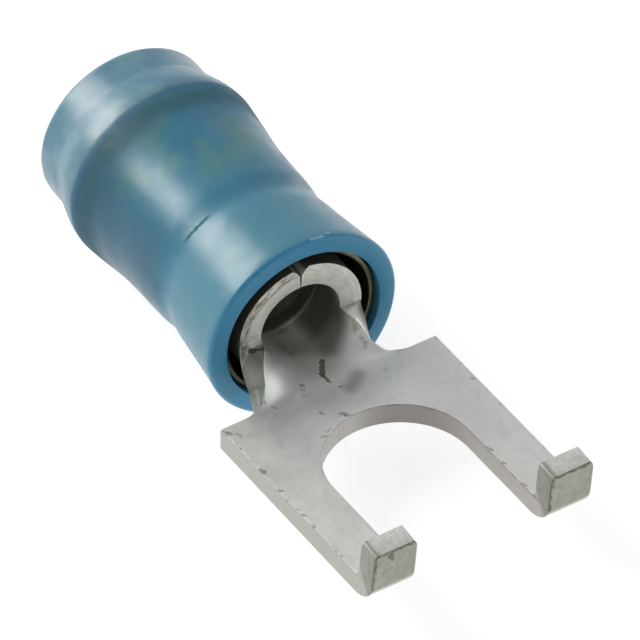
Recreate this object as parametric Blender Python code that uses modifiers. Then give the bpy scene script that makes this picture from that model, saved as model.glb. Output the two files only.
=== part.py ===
"""Flanged fork terminal with a nylon insulator: three pieces, metres, +Z up.

The stamped body is drawn as a flat blank and then formed, as its press tool does:
the rear is rolled into a wire barrel, the neck opens out flat, and the tips of the
tines turn up into flanges. A thin support sleeve grips the barrel, and a turned
nylon insulator closes over both. The three lean a little aside from the tongue, as
the pictured one does. +X runs from the barrel to the tips of the fork. The origin is
on the underside of the tongue, at the middle of its web.
"""

import math

import bmesh
import bpy
from mathutils import Matrix, Vector

MM = 0.001

# Sheet stock
STOCK = 0.70 * MM
EDGE_BREAK = 0.045 * MM

# Fork tongue
TONGUE_WIDTH = 7.20 * MM
SLOT_WIDTH = 4.46 * MM
WEB_LENGTH = 1.48 * MM
TINE_LENGTH = 3.99 * MM
TIP_CORNER_RADIUS = 0.18 * MM

# Flanges at the tips of the tines
FLANGE_HEIGHT = 2.03 * MM
FLANGE_LEAN = math.radians(6.0)
FLANGE_BEND_RADIUS = 0.25 * MM

# Neck between the tongue and the barrel
NECK_LENGTH = 1.50 * MM
NECK_WIDTH = 4.02 * MM
NECK_FILLET = 0.75 * MM
ROLL_OPENING = 1.40 * MM

# Wire barrel
BARREL_RADIUS = 2.00 * MM
BARREL_LENGTH = 5.20 * MM
AXIS_HEIGHT = 1.82 * MM
BARREL_LEAN = math.radians(1.66)
SEAM_GAP = 0.05 * MM
SEAM_MOUTH = 0.44 * MM
SEAM_ROOT = 0.14 * MM
GROOVE_DEPTH = 0.08 * MM
GROOVE_WIDTH = 0.36 * MM
GROOVE_PITCH = 1.10 * MM
GROOVE_COUNT = 3
ENTRY_CHAMFER = 0.22 * MM

# Support sleeve
SLEEVE_WALL = 0.15 * MM
SLEEVE_LENGTH = 7.36 * MM
SLEEVE_SETBACK = 0.24 * MM
GRIP_CLEARANCE = 0.05 * MM
MOUTH_GAP = 0.31 * MM
FLARE_RADIUS = 2.60 * MM

# Insulator
SEAT_CLEARANCE = 0.05 * MM
RIM_OVERHANG = 0.16 * MM
RIM_WALL = 0.56 * MM
WAIST_SETBACK = 3.00 * MM
WAIST_WALL = 0.47 * MM
BODY_RISE = 0.75 * MM
BODY_WALL = 0.54 * MM
HEEL_WALL = 0.585 * MM
BULGE_WALL = 0.43 * MM
BULGE_FALL = 1.40 * MM
REAR_BORE_RADIUS = 2.22 * MM
REAR_WALL = 0.54 * MM
REAR_LENGTH = 2.45 * MM
SHELF_FALL = 0.60 * MM
FRONT_ROUND = 0.14 * MM
REAR_ROUND = 0.30 * MM
FUNNEL_DEPTH = 0.45 * MM
FUNNEL_FLARE = 0.22 * MM

# Facets: the barrel, the sleeve and the insulator share one division of the circle
ROUND_STEPS = 54
HALF_FACET = math.pi / ROUND_STEPS
NECK_STEPS = 26
NECK_ROWS = 8
BARREL_ROWS = 3
BEND_ROWS = 8
CORNER_ROWS = 2
SIDE_STEPS = 10
SHOULDER_STEPS = 2
FILLET_STEPS = 5
FAN_SHARES = (0.0, 0.09, 0.18, 0.28, 0.55, 1.0)
CURVE_STEPS = 4
FLARE_STEPS = 2
ARC_STEPS = 3

# Modelling limits: reach of the cutters, merge of a turned seam, what counts as a corner or as flat
CUT_MARGIN = 0.5 * MM
WELD_DISTANCE = 0.001 * MM
CORNER_ANGLE = math.radians(50.0)
FLAT_SHARE = 1e-6

# Places worked out from the sizes above
SHOULDER_X = -WEB_LENGTH / 2
SLOT_CENTRE_X = WEB_LENGTH / 2 + SLOT_WIDTH / 2
FLANGE_X = SLOT_CENTRE_X + TINE_LENGTH
BARREL_FRONT_X = SHOULDER_X - NECK_LENGTH
BARREL_REAR_X = BARREL_FRONT_X - BARREL_LENGTH
RIM_X = BARREL_FRONT_X + RIM_OVERHANG
WAIST_X = RIM_X - WAIST_SETBACK
SLEEVE_FRONT_X = RIM_X - SLEEVE_SETBACK
SLEEVE_REAR_X = SLEEVE_FRONT_X - SLEEVE_LENGTH
INSULATOR_REAR_X = SLEEVE_REAR_X - REAR_LENGTH
ROLL_RADIUS = BARREL_RADIUS - STOCK / 2
BORE_RADIUS = BARREL_RADIUS - STOCK
NECK_ARC = NECK_STEPS / 2 * math.tau / ROUND_STEPS
FILLET = min(NECK_FILLET, (TONGUE_WIDTH - NECK_WIDTH) / 2)
FILLET_X = SHOULDER_X - FILLET
BEND_ANGLE = math.pi / 2 - FLANGE_LEAN
BEND_MIDDLE = FLANGE_BEND_RADIUS + STOCK / 2
GRIP_RADIUS = BARREL_RADIUS + GRIP_CLEARANCE
MOUTH_RADIUS = BARREL_RADIUS + MOUTH_GAP
SEAT_STEP = SLEEVE_WALL + SEAT_CLEARANCE

# Finishes: base colour, roughness and metallic value
TIN = ((0.56, 0.56, 0.54, 1.0), 0.38, 1.0)
BRASS = ((0.50, 0.42, 0.28, 1.0), 0.35, 1.0)
NYLON = ((0.07, 0.25, 0.42, 1.0), 0.30, 0.0)


def smooth_step(t):
    """Ease from 0 to 1 with level ends."""
    t = min(max(t, 0.0), 1.0)
    return t * t * (3.0 - 2.0 * t)


def curve_slopes(stations):
    """Slopes of a monotone curve: level at each crest and hollow."""
    rises = []
    for (x0, r0), (x1, r1) in zip(stations, stations[1:]):
        rises.append((r1 - r0) / (x1 - x0))
    slopes = [rises[0]]
    for before, after in zip(rises, rises[1:]):
        if before * after <= 0.0:
            slopes.append(0.0)
        else:
            slopes.append(2.0 * before * after / (before + after))
    slopes.append(rises[-1])
    return slopes


def curve_points(stations, steps):
    """Points on the smooth curve through the stations, each an (x, radius) pair."""
    slopes = curve_slopes(stations)
    points = [stations[0]]
    for i in range(len(stations) - 1):
        (x0, r0), (x1, r1) = stations[i], stations[i + 1]
        span = x1 - x0
        for k in range(1, steps + 1):
            t = k / steps
            ease = smooth_step(t)
            lead = t * (1.0 - t) ** 2 * span * slopes[i]
            trail = t * t * (1.0 - t) * span * slopes[i + 1]
            points.append((x0 + t * span, r0 + ease * (r1 - r0) + lead - trail))
    return points


def ease_points(start, end, steps):
    """Points on an S curve that leaves start and meets end level, without start itself."""
    points = []
    for k in range(1, steps + 1):
        share = k / steps
        radius = start[1] + (end[1] - start[1]) * smooth_step(share)
        points.append((start[0] + (end[0] - start[0]) * share, radius))
    return points


def arc_points(centre, radius, start, end, steps):
    """Points on an arc, each an (x, radius) pair; angles from +X in degrees."""
    points = []
    for k in range(steps + 1):
        a = math.radians(start + (end - start) * k / steps)
        points.append((centre[0] + radius * math.cos(a), centre[1] + radius * math.sin(a)))
    return points


def new_collection(name):
    """A collection linked to the scene."""
    collection = bpy.data.collections.new(name)
    bpy.context.scene.collection.children.link(collection)
    return collection


def new_material(name, finish):
    """A plain Principled material."""
    colour, roughness, metallic = finish
    material = bpy.data.materials.new(name)
    material.use_nodes = True
    shader = material.node_tree.nodes["Principled BSDF"]
    shader.inputs["Base Color"].default_value = colour
    shader.inputs["Roughness"].default_value = roughness
    shader.inputs["Metallic"].default_value = metallic
    material.diffuse_color = colour
    return material


def add_object(name, mesh, collection, material=None):
    """An object for the mesh, in the collection, with the material if it has one."""
    obj = bpy.data.objects.new(name, mesh)
    collection.objects.link(obj)
    if material is not None:
        mesh.materials.append(material)
    return obj


def mark_cutter(obj):
    """Show the object as a wire guide and keep it out of renders."""
    obj.hide_render = True
    obj.display_type = "WIRE"


def lean_aside(share):
    """Turn about the upright line between the shoulders, by a share of the barrel's lean."""
    pivot = Vector((SHOULDER_X, 0.0, 0.0))
    turn = Matrix.Rotation(-share * BARREL_LEAN, 4, "Z")
    return Matrix.Translation(pivot) @ turn @ Matrix.Translation(-pivot)


def turned(name, profile, collection, material=None, phase=0.0):
    """A shape turned about the barrel's leaning axis from a closed loop of (x, radius) points."""
    mesh = bpy.data.meshes.new(name)
    points = [(radius * math.cos(phase), radius * math.sin(phase), x) for x, radius in profile]
    edges = [(i, (i + 1) % len(points)) for i in range(len(points))]
    mesh.from_pydata(points, edges, [])
    obj = add_object(name, mesh, collection, material)
    upright = Matrix.Translation((0.0, 0.0, AXIS_HEIGHT)) @ Matrix.Rotation(math.pi / 2, 4, "Y")
    obj.matrix_basis = lean_aside(1.0) @ upright
    screw = obj.modifiers.new("Turn", "SCREW")
    screw.axis = "Z"
    screw.angle = math.tau
    screw.steps = ROUND_STEPS
    screw.render_steps = ROUND_STEPS
    screw.use_merge_vertices = True
    screw.merge_threshold = WELD_DISTANCE
    return obj


def cut(obj, cutter):
    """Cut the cutter's shape out of the object."""
    boolean = obj.modifiers.new(cutter.name, "BOOLEAN")
    boolean.operation = "DIFFERENCE"
    boolean.solver = "EXACT"
    boolean.object = cutter


def shade_round(obj):
    """Apply the object's modifiers, and shade it smooth with its corners sharp."""
    graph = bpy.context.evaluated_depsgraph_get()
    mesh = bpy.data.meshes.new_from_object(obj.evaluated_get(graph))
    obj.modifiers.clear()
    obj.data = mesh
    mesh.shade_smooth()
    mesh.set_sharp_from_angle(angle=CORNER_ANGLE)


# Stamped body: the blank's grid, and how it is formed

def opened(x):
    """How far the roll has opened at x: 0 in the barrel, 1 in the flat of the tongue."""
    return smooth_step((x - BARREL_FRONT_X) / ROLL_OPENING)


def strip_height(x):
    """Height of the middle of the sheet on the centre line."""
    barrel_floor = AXIS_HEIGHT - ROLL_RADIUS
    return barrel_floor + opened(x) * (STOCK / 2 - barrel_floor)


def neck_half_width(x):
    """Half of the blank's width in the neck, measured round the strip."""
    at_barrel = NECK_ARC * ROLL_RADIUS
    narrowed = smooth_step((x - BARREL_FRONT_X) / (FILLET_X - BARREL_FRONT_X))
    return at_barrel + narrowed * (NECK_WIDTH / 2 - at_barrel)


def neck_points(x):
    """A row of blank points across the neck."""
    half = neck_half_width(x)
    return [Vector((x, half * (2.0 * k / NECK_STEPS - 1.0))) for k in range(NECK_STEPS + 1)]


def rolled(x, across):
    """Place a blank point on the rolled strip, which leans aside where it is rolled."""
    floor = strip_height(x)
    roll = 1.0 - opened(x)
    if roll < FLAT_SHARE:
        return Vector((x, across, floor))
    radius = ROLL_RADIUS / roll
    angle = across / radius
    point = Vector((x, radius * math.sin(angle), floor + radius * (1.0 - math.cos(angle))))
    return lean_aside(roll) @ point


def bend_start():
    """Where the tines begin to turn up, so that the outer face comes to FLANGE_X."""
    outer = FLANGE_BEND_RADIUS + STOCK
    face_height = outer * (1.0 - math.cos(BEND_ANGLE))
    return FLANGE_X - outer * math.sin(BEND_ANGLE) + (face_height - STOCK) * math.tan(FLANGE_LEAN)


def turned_up(distance, across):
    """Place a blank point of a tine, at a distance beyond the start of its bend."""
    turn = min(max(distance / BEND_MIDDLE, 0.0), BEND_ANGLE)
    beyond = distance - turn * BEND_MIDDLE
    x = bend_start() + BEND_MIDDLE * math.sin(turn) + beyond * math.cos(turn)
    z = STOCK / 2 + BEND_MIDDLE * (1.0 - math.cos(turn)) + beyond * math.sin(turn)
    return Vector((x, across, z))


def barrel_rows(bm):
    """The rolled barrel: one row of points for each station, rear to front."""
    step = math.tau / ROUND_STEPS * ROLL_RADIUS
    half = ROUND_STEPS // 2
    edge = math.pi * ROLL_RADIUS - SEAM_GAP / 2
    across = [k * step for k in range(-half + 1, half)]
    across = [-edge] + across + [edge]
    rows = []
    for i in range(BARREL_ROWS + 1):
        x = BARREL_REAR_X + BARREL_LENGTH * i / BARREL_ROWS
        rows.append([bm.verts.new(rolled(x, v)) for v in across])
    return rows


def neck_rows(bm, first):
    """The opening neck, from the barrel's front row to where the fillets begin."""
    rows = [first]
    for i in range(1, NECK_ROWS + 1):
        x = BARREL_FRONT_X + (FILLET_X - BARREL_FRONT_X) * i / NECK_ROWS
        rows.append([bm.verts.new(rolled(p.x, p.y)) for p in neck_points(x)])
    return rows


def web_outline():
    """Right half of the web's outline: from the slot's centre line back to the neck."""
    half = TONGUE_WIDTH / 2
    side = SLOT_CENTRE_X - SHOULDER_X
    land = (TONGUE_WIDTH - NECK_WIDTH) / 2 - FILLET
    centre = Vector((FILLET_X, NECK_WIDTH / 2 + FILLET))
    points = []
    for k in range(SIDE_STEPS):
        points.append(Vector((SLOT_CENTRE_X - side * k / SIDE_STEPS, half)))
    for k in range(SHOULDER_STEPS):
        points.append(Vector((SHOULDER_X, half - land * k / SHOULDER_STEPS)))
    for k in range(FILLET_STEPS):
        a = math.pi / 2 * k / FILLET_STEPS
        points.append(centre + FILLET * Vector((math.cos(a), -math.sin(a))))
    return points


def web_rows(bm, neck):
    """A fan of rings from the web's outline to the round root of the slot."""
    centre = Vector((SLOT_CENTRE_X, 0.0))
    right = web_outline()
    left = [Vector((p.x, -p.y)) for p in right]
    outline = left + neck_points(FILLET_X) + right[::-1]
    rings = []
    for share in FAN_SHARES:
        row = []
        for i, p in enumerate(outline):
            on_neck = share == 0.0 and 0 <= i - len(left) < len(neck)
            if on_neck:
                row.append(neck[i - len(left)])
                continue
            inner = centre + (p - centre).normalized() * SLOT_WIDTH / 2
            q = p.lerp(inner, share)
            row.append(bm.verts.new(rolled(q.x, q.y)))
        rings.append(row)
    return rings


def tine_end():
    """Distance beyond the start of the bend at which the flange ends."""
    rise = STOCK / 2 + BEND_MIDDLE * (1.0 - math.cos(BEND_ANGLE))
    return BEND_MIDDLE * BEND_ANGLE + (FLANGE_HEIGHT - rise) / math.sin(BEND_ANGLE)


def tine_stations():
    """Distances beyond the start of the bend at which a tine has a row of points."""
    halfway = (bend_start() - SLOT_CENTRE_X) / 2
    stations = [-halfway]
    for k in range(BEND_ROWS + 1):
        stations.append(BEND_MIDDLE * BEND_ANGLE * k / BEND_ROWS)
    for k in range(CORNER_ROWS + 1):
        a = math.pi / 2 * k / CORNER_ROWS
        stations.append(tine_end() - TIP_CORNER_RADIUS * (1.0 - math.sin(a)))
    return stations


def tip_inset(distance):
    """How far the rounded corner of the blank's tip draws in its sides."""
    into_corner = distance - (tine_end() - TIP_CORNER_RADIUS)
    if into_corner <= 0.0:
        return 0.0
    return TIP_CORNER_RADIUS - math.sqrt(max(TIP_CORNER_RADIUS ** 2 - into_corner ** 2, 0.0))


def tine_rows(bm, first, side):
    """One tine and its flange; the first row is on the slot's centre line."""
    rows = [first]
    columns = len(first) - 1
    for distance in tine_stations():
        inset = tip_inset(distance)
        outer = TONGUE_WIDTH / 2 - inset
        inner = SLOT_WIDTH / 2 + inset
        row = []
        for k in range(columns + 1):
            across = outer + (inner - outer) * k / columns
            row.append(bm.verts.new(turned_up(distance, side * across)))
        rows.append(row)
    return rows


def fill_rows(bm, rows):
    """Quads between neighbouring rows of points."""
    for low, high in zip(rows, rows[1:]):
        for i in range(len(low) - 1):
            bm.faces.new((low[i], high[i], high[i + 1], low[i + 1]))


def formed_blank():
    """The middle surface of the stamped body, formed from its blank."""
    bm = bmesh.new()
    barrel = barrel_rows(bm)
    fill_rows(bm, barrel)
    spare = (ROUND_STEPS - NECK_STEPS) // 2
    neck = neck_rows(bm, barrel[-1][spare:spare + NECK_STEPS + 1])
    fill_rows(bm, neck)
    web = web_rows(bm, neck[-1])
    fill_rows(bm, web)
    fill_rows(bm, tine_rows(bm, [ring[0] for ring in web], -1.0))
    fill_rows(bm, tine_rows(bm, [ring[-1] for ring in web], 1.0))
    bmesh.ops.recalc_face_normals(bm, faces=bm.faces)
    mesh = bpy.data.meshes.new("terminal_body")
    bm.to_mesh(mesh)
    bm.free()
    return mesh


def seam_cutter(cutters):
    """A wedge along the top of the barrel, where the rolled edges part."""
    bm = bmesh.new()
    depth = STOCK - SEAM_ROOT
    reach = depth + CUT_MARGIN
    half = SEAM_MOUTH / 2 * reach / depth
    root = AXIS_HEIGHT + BORE_RADIUS + SEAM_ROOT
    section = [(0.0, root), (half, root + reach), (-half, root + reach)]
    ends = []
    for x in (BARREL_REAR_X - CUT_MARGIN, BARREL_FRONT_X + CUT_MARGIN):
        ends.append([bm.verts.new((x, y, z)) for y, z in section])
    bm.faces.new(ends[0])
    bm.faces.new(ends[1][::-1])
    for i in range(3):
        j = (i + 1) % 3
        bm.faces.new((ends[0][i], ends[1][i], ends[1][j], ends[0][j]))
    bmesh.ops.recalc_face_normals(bm, faces=bm.faces)
    mesh = bpy.data.meshes.new("seam_cutter")
    bm.to_mesh(mesh)
    bm.free()
    obj = add_object("seam_cutter", mesh, cutters)
    obj.matrix_basis = lean_aside(1.0)
    return obj


def groove_cutter(cutters, index):
    """One of the grooves round the bore that bite into the wire: 45 degree sides."""
    offset = (index - (GROOVE_COUNT - 1) / 2) * GROOVE_PITCH
    middle = BARREL_FRONT_X - BARREL_LENGTH / 2 + offset
    reach = CUT_MARGIN / 2
    floor = GROOVE_WIDTH / 2 - GROOVE_DEPTH
    mouth = GROOVE_WIDTH / 2 + reach
    profile = [
        (middle + floor, BORE_RADIUS + GROOVE_DEPTH),
        (middle - floor, BORE_RADIUS + GROOVE_DEPTH),
        (middle - mouth, BORE_RADIUS - reach),
        (middle + mouth, BORE_RADIUS - reach),
    ]
    return turned("groove_cutter_%d" % (index + 1), profile, cutters, phase=HALF_FACET)


def entry_cutter(cutters):
    """The chamfer that leads the strands into the rear of the barrel."""
    start = BARREL_REAR_X - CUT_MARGIN
    wide = BORE_RADIUS + ENTRY_CHAMFER + CUT_MARGIN
    tip = BARREL_REAR_X + ENTRY_CHAMFER + CUT_MARGIN
    narrow = BORE_RADIUS - CUT_MARGIN
    profile = [(tip, narrow), (start, wide), (start, narrow)]
    return turned("entry_cutter", profile, cutters, phase=HALF_FACET)


def stamped_body(parts, cutters):
    """The terminal body: formed sheet, given its thickness and broken edges, then cut."""
    body = add_object("terminal_body", formed_blank(), parts, new_material("tinned_copper", TIN))
    thick = body.modifiers.new("Stock", "SOLIDIFY")
    thick.thickness = STOCK
    thick.offset = 0.0
    thick.use_even_offset = True
    thick.use_rim = True
    edge = body.modifiers.new("Edge break", "BEVEL")
    edge.width = EDGE_BREAK
    edge.segments = 2
    edge.limit_method = "ANGLE"
    edge.angle_limit = CORNER_ANGLE
    tools = [seam_cutter(cutters), entry_cutter(cutters)]
    tools += [groove_cutter(cutters, i) for i in range(GROOVE_COUNT)]
    for tool in tools:
        mark_cutter(tool)
        cut(body, tool)
    shade_round(body)


# Sleeve and insulator: turned about the barrel's axis, x measured along it

def sleeve_bore_stations():
    """Inner radius of the sleeve: belled mouth, grip on the barrel, flare behind it."""
    return [
        (SLEEVE_FRONT_X, MOUTH_RADIUS),
        (WAIST_X, GRIP_RADIUS),
        (BARREL_REAR_X, GRIP_RADIUS),
        (SLEEVE_REAR_X, FLARE_RADIUS - SLEEVE_WALL),
    ]


def support_sleeve(parts):
    """The thin drawn sleeve round the barrel."""
    bore = curve_points(sleeve_bore_stations(), CURVE_STEPS)
    outside = [(x, r + SLEEVE_WALL) for x, r in bore]
    profile = outside + bore[::-1]
    material = new_material("sleeve_brass", BRASS)
    shade_round(turned("support_sleeve", profile, parts, material, phase=HALF_FACET))


def insulator_bore():
    """The insulator's inside: the sleeve's seat, the shelf that holds it, the wire entry."""
    seat = []
    for x, r in curve_points(sleeve_bore_stations(), CURVE_STEPS):
        seat.append((x, r + SEAT_STEP))
    shelf_start = (SLEEVE_REAR_X - SEAT_CLEARANCE, seat[-1][1])
    shelf_end = (shelf_start[0] - SHELF_FALL, REAR_BORE_RADIUS)
    funnel_start = (INSULATOR_REAR_X + FUNNEL_DEPTH, REAR_BORE_RADIUS)
    funnel_end = (INSULATOR_REAR_X, REAR_BORE_RADIUS + FUNNEL_FLARE)
    shelf = [shelf_start] + ease_points(shelf_start, shelf_end, CURVE_STEPS)
    return [(RIM_X, seat[0][1])] + seat + shelf + [funnel_start, funnel_end]


def insulator_outside():
    """The insulator's outside: flared front, creased waist, bulge over the sleeve, rear ring."""
    grip_seat = GRIP_RADIUS + SEAT_STEP
    rim_radius = MOUTH_RADIUS + SEAT_STEP + RIM_WALL
    rear_radius = REAR_BORE_RADIUS + REAR_WALL
    rim = (RIM_X - FRONT_ROUND, rim_radius)
    waist = (WAIST_X, grip_seat + WAIST_WALL)
    body = [
        waist,
        (WAIST_X - BODY_RISE, grip_seat + BODY_WALL),
        (BARREL_REAR_X, grip_seat + HEEL_WALL),
        (SLEEVE_REAR_X, FLARE_RADIUS + SEAT_CLEARANCE + BULGE_WALL),
        (SLEEVE_REAR_X - BULGE_FALL, rear_radius),
    ]
    front_centre = (RIM_X - FRONT_ROUND, rim_radius - FRONT_ROUND)
    back_centre = (INSULATOR_REAR_X + REAR_ROUND, rear_radius - REAR_ROUND)
    front = arc_points(front_centre, FRONT_ROUND, 0.0, 90.0, ARC_STEPS)
    flare = curve_points([rim, waist], FLARE_STEPS)[1:-1]
    back = arc_points(back_centre, REAR_ROUND, 90.0, 180.0, ARC_STEPS)
    return front + flare + curve_points(body, CURVE_STEPS) + back


def insulator(parts):
    """The nylon insulator, turned as one closed wall."""
    profile = insulator_outside() + insulator_bore()[::-1]
    material = new_material("blue_nylon", NYLON)
    shade_round(turned("insulator", profile, parts, material, phase=HALF_FACET))


def clear_scene():
    """Remove every object from the scene."""
    for obj in list(bpy.data.objects):
        bpy.data.objects.remove(obj, do_unlink=True)


def build():
    """Model the terminal's pieces in their collection."""
    clear_scene()
    parts = new_collection("fork_terminal")
    cutters = new_collection("cutters")
    stamped_body(parts, cutters)
    support_sleeve(parts)
    insulator(parts)


build()
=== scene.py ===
import math

import bmesh
import bpy
from mathutils import Matrix, Vector


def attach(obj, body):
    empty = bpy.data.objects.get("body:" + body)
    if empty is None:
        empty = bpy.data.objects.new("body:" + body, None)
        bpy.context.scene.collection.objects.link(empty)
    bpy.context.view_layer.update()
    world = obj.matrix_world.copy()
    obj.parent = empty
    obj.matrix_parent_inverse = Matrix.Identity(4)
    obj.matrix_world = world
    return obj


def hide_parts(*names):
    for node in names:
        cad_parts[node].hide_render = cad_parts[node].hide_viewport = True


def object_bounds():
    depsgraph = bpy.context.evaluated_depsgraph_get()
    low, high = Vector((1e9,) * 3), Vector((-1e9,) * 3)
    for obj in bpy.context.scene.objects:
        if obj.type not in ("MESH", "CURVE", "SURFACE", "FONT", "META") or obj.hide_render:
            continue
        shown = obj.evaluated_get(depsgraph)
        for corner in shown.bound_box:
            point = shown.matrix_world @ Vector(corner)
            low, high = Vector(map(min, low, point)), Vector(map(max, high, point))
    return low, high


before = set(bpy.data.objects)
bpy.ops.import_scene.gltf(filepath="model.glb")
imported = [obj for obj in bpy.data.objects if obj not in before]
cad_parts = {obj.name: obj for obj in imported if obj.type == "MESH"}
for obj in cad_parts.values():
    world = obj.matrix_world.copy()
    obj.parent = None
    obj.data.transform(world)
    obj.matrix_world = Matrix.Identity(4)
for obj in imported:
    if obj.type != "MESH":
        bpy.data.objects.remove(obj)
cad_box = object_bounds()


# Terminal body
# One stamping of sheet copper, tin plated. The rear of the blank is rolled up into the wire
# barrel, the neck opens out flat into the fork, and the tips of the tines turn up as flanges.
MM = 0.001
STOCK = 0.70 * MM
TONGUE_WIDTH = 7.198 * MM
SLOT_WIDTH = 4.46 * MM
SHOULDER_X = -0.74 * MM
SLOT_CENTRE_X = 2.97 * MM
FLANGE_X = 6.96 * MM
FLANGE_HEIGHT = 2.03 * MM
BEND_ANGLE = math.radians(84.0)
BEND_RADIUS = 0.25 * MM
TIP_CORNER = 0.26 * MM
TIP_CORNER_ROWS = 5
NECK_WIDTH = 4.02 * MM
NECK_FILLET = 0.75 * MM
BARREL_RADIUS = 2.00 * MM
BARREL_FRONT_X = -2.24 * MM
BARREL_REAR_X = -7.44 * MM
AXIS_HEIGHT = 1.82 * MM
SEAM_GAP = 0.05 * MM
SEAM_HALF_WIDTH = 0.24 * MM
SEAM_DEPTH = 0.32 * MM
ROLL_OPENING = 1.40 * MM
BARREL_LEAN = math.radians(1.66)
BEND_MIDDLE = BEND_RADIUS + STOCK / 2
ROLL_RADIUS = BARREL_RADIUS - STOCK / 2
BORE_RADIUS = BARREL_RADIUS - STOCK
FILLET_X = SHOULDER_X - NECK_FILLET

# Columns of faces round the whole barrel and across its neck, and rows along each
ROUND_COLUMNS = 144
NECK_COLUMNS = 70
BARREL_ROWS = 52
NECK_ROWS = 18
BLANK_ROWS = BARREL_ROWS + NECK_ROWS

# Points nearer than this are at one place
NEAR = 0.002 * MM


def choose(piece):
    """Select the piece alone and make it the active one."""
    bpy.ops.object.select_all(action="DESELECT")
    bpy.context.view_layer.objects.active = piece
    piece.select_set(True)


def start_editing(piece):
    choose(piece)
    bpy.ops.object.mode_set(mode="EDIT")


def stop_editing():
    bpy.ops.object.mode_set(mode="OBJECT")


def pick(piece, kind, wanted):
    """Select the vertices, edges or faces of the edited piece that are wanted, and no others."""
    bpy.ops.mesh.select_mode(type=kind)
    bpy.ops.mesh.select_all(action="DESELECT")
    shape = bmesh.from_edit_mesh(piece.data)
    members = {"VERT": shape.verts, "EDGE": shape.edges, "FACE": shape.faces}[kind]
    for member in members:
        if wanted(member):
            member.select_set(True)
    shape.select_flush_mode()
    bmesh.update_edit_mesh(piece.data)


def apply_all(piece):
    """Apply the piece's modifiers in their order."""
    choose(piece)
    for modifier in list(piece.modifiers):
        bpy.ops.object.modifier_apply(modifier=modifier.name)


def ease(share):
    """0 up to 0 and 1 from 1 on, with a smooth rise between them."""
    share = min(max(share, 0.0), 1.0)
    return share * share * (3.0 - 2.0 * share)


def opened_at(x):
    """How far the roll has opened: 0 in the barrel, 1 in the flat of the fork."""
    return ease((x - BARREL_FRONT_X) / ROLL_OPENING)


FLAT_ENOUGH = 0.999999


def rolled(x, across):
    """Where a point of the flat blank comes to lie: round in the barrel, flat at the fork."""
    opened = opened_at(x)
    low = AXIS_HEIGHT - ROLL_RADIUS
    floor = low + opened * (STOCK / 2 - low)
    if opened > FLAT_ENOUGH:
        return Vector((x, across, floor))
    radius = ROLL_RADIUS / (1.0 - opened)
    angle = across / radius
    return Vector((x, radius * math.sin(angle), floor + radius * (1.0 - math.cos(angle))))


def on_blank(row, column):
    """Where a point of the grid lies on the flat blank, along it and across."""
    step = math.tau / ROUND_COLUMNS * ROLL_RADIUS
    if row <= BARREL_ROWS:
        x = BARREL_REAR_X + (BARREL_FRONT_X - BARREL_REAR_X) * row / BARREL_ROWS
        limit = math.pi * ROLL_RADIUS - SEAM_GAP / 2
        return x, min(max((column - ROUND_COLUMNS / 2) * step, -limit), limit)
    share = (row - BARREL_ROWS) / NECK_ROWS
    rolled_half = NECK_COLUMNS / 2 * step
    half = rolled_half + ease(share) * (NECK_WIDTH / 2 - rolled_half)
    x = BARREL_FRONT_X + (FILLET_X - BARREL_FRONT_X) * share
    return x, half * (column - ROUND_COLUMNS / 2) / (NECK_COLUMNS / 2)


def lean_aside(piece):
    """Turn the barrel a little to one side about the shoulders, and let the neck follow it."""
    pivot = Vector((SHOULDER_X, 0.0, 0.0))
    for v in piece.data.vertices:
        turn = Matrix.Rotation(BARREL_LEAN * (opened_at(v.co.x) - 1.0), 3, "Z")
        v.co = pivot + turn @ (v.co - pivot)


bpy.ops.object.select_all(action="DESELECT")
bpy.ops.mesh.primitive_grid_add(x_subdivisions=BLANK_ROWS, y_subdivisions=ROUND_COLUMNS, size=2.0)
body = bpy.context.object
body.name = "formed_terminal_body"
barrel_share = 2.0 * BARREL_ROWS / BLANK_ROWS - 1.0
neck_share = NECK_COLUMNS / ROUND_COLUMNS


def is_beside_neck(f):
    centre = f.calc_center_median()
    return centre.x > barrel_share and abs(centre.y) > neck_share


start_editing(body)
pick(body, "FACE", is_beside_neck)
bpy.ops.mesh.delete(type="FACE")
stop_editing()
for v in body.data.vertices:
    row = round((v.co.x + 1.0) / 2.0 * BLANK_ROWS)
    column = round((v.co.y + 1.0) / 2.0 * ROUND_COLUMNS)
    v.co = (*on_blank(row, column), STOCK / 2)

# The web's outline runs from each end of the neck round the fillet, the shoulder and the side
FILLET_STEPS = 10
SHOULDER_STEPS = 9
SIDE_STEPS = 36


def web_side(side):
    """Points from the neck's end to the side of the tongue, level with the slot's centre."""
    points = []
    centre = Vector((FILLET_X, NECK_WIDTH / 2 + NECK_FILLET, 0.0))
    for k in range(FILLET_STEPS + 1):
        angle = math.pi / 2 * k / FILLET_STEPS
        points.append(centre + NECK_FILLET * Vector((math.sin(angle), -math.cos(angle), 0.0)))
    half_width = TONGUE_WIDTH / 2
    land = half_width - points[-1].y
    for k in range(1, SHOULDER_STEPS + 1):
        points.append(Vector((SHOULDER_X, half_width - land * (1.0 - k / SHOULDER_STEPS), 0.0)))
    for k in range(1, SIDE_STEPS + 1):
        along = (SLOT_CENTRE_X - SHOULDER_X) * k / SIDE_STEPS
        points.append(Vector((SHOULDER_X + along, half_width, 0.0)))
    return [Vector((p.x, side * p.y, STOCK / 2)) for p in points]


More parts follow.
